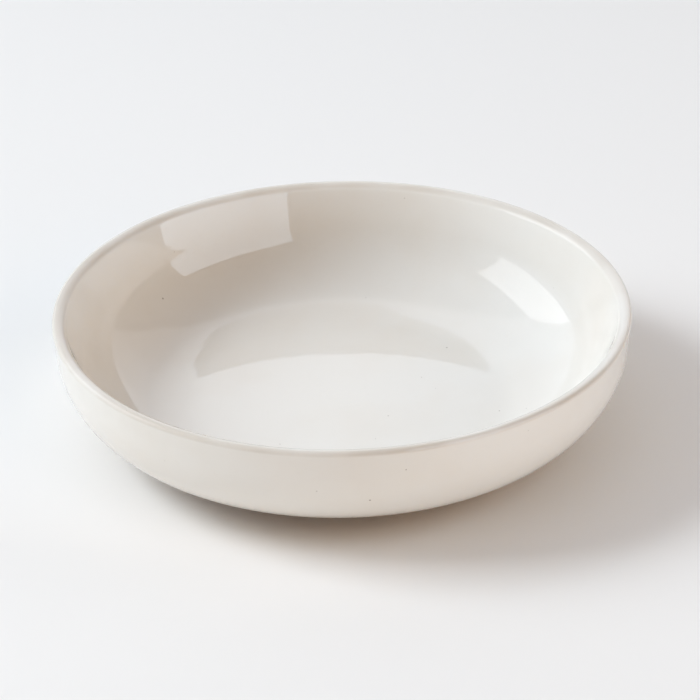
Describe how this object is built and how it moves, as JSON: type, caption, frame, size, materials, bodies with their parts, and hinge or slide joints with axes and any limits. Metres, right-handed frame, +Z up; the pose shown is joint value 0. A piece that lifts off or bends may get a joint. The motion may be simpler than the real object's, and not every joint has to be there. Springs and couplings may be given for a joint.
{
  "type": "shallow dish",
  "caption": "Shallow round dish of glazed stoneware with a softly rounded lip, a rolled heel, a wide level floor and a bare foot ring; holds liquids or food.",
  "frame": {"origin": "centre of the foot ring's standing face, on the table", "axes": "+Z up along the dish's axis of revolution, out of its mouth; X and Y lie in the table plane"},
  "size_m": [0.22, 0.22, 0.048],
  "materials": {
    "stoneware": "bare fired clay, fine and matt",
    "cream_glaze": "cream-white gloss glaze with a few fine iron specks"
  },
  "bodies": {
    "root": {"stoneware_body": "stoneware", "inside_glaze": "cream_glaze", "outside_glaze": "cream_glaze", "well_glaze": "cream_glaze"}
  },
  "joints": []
}
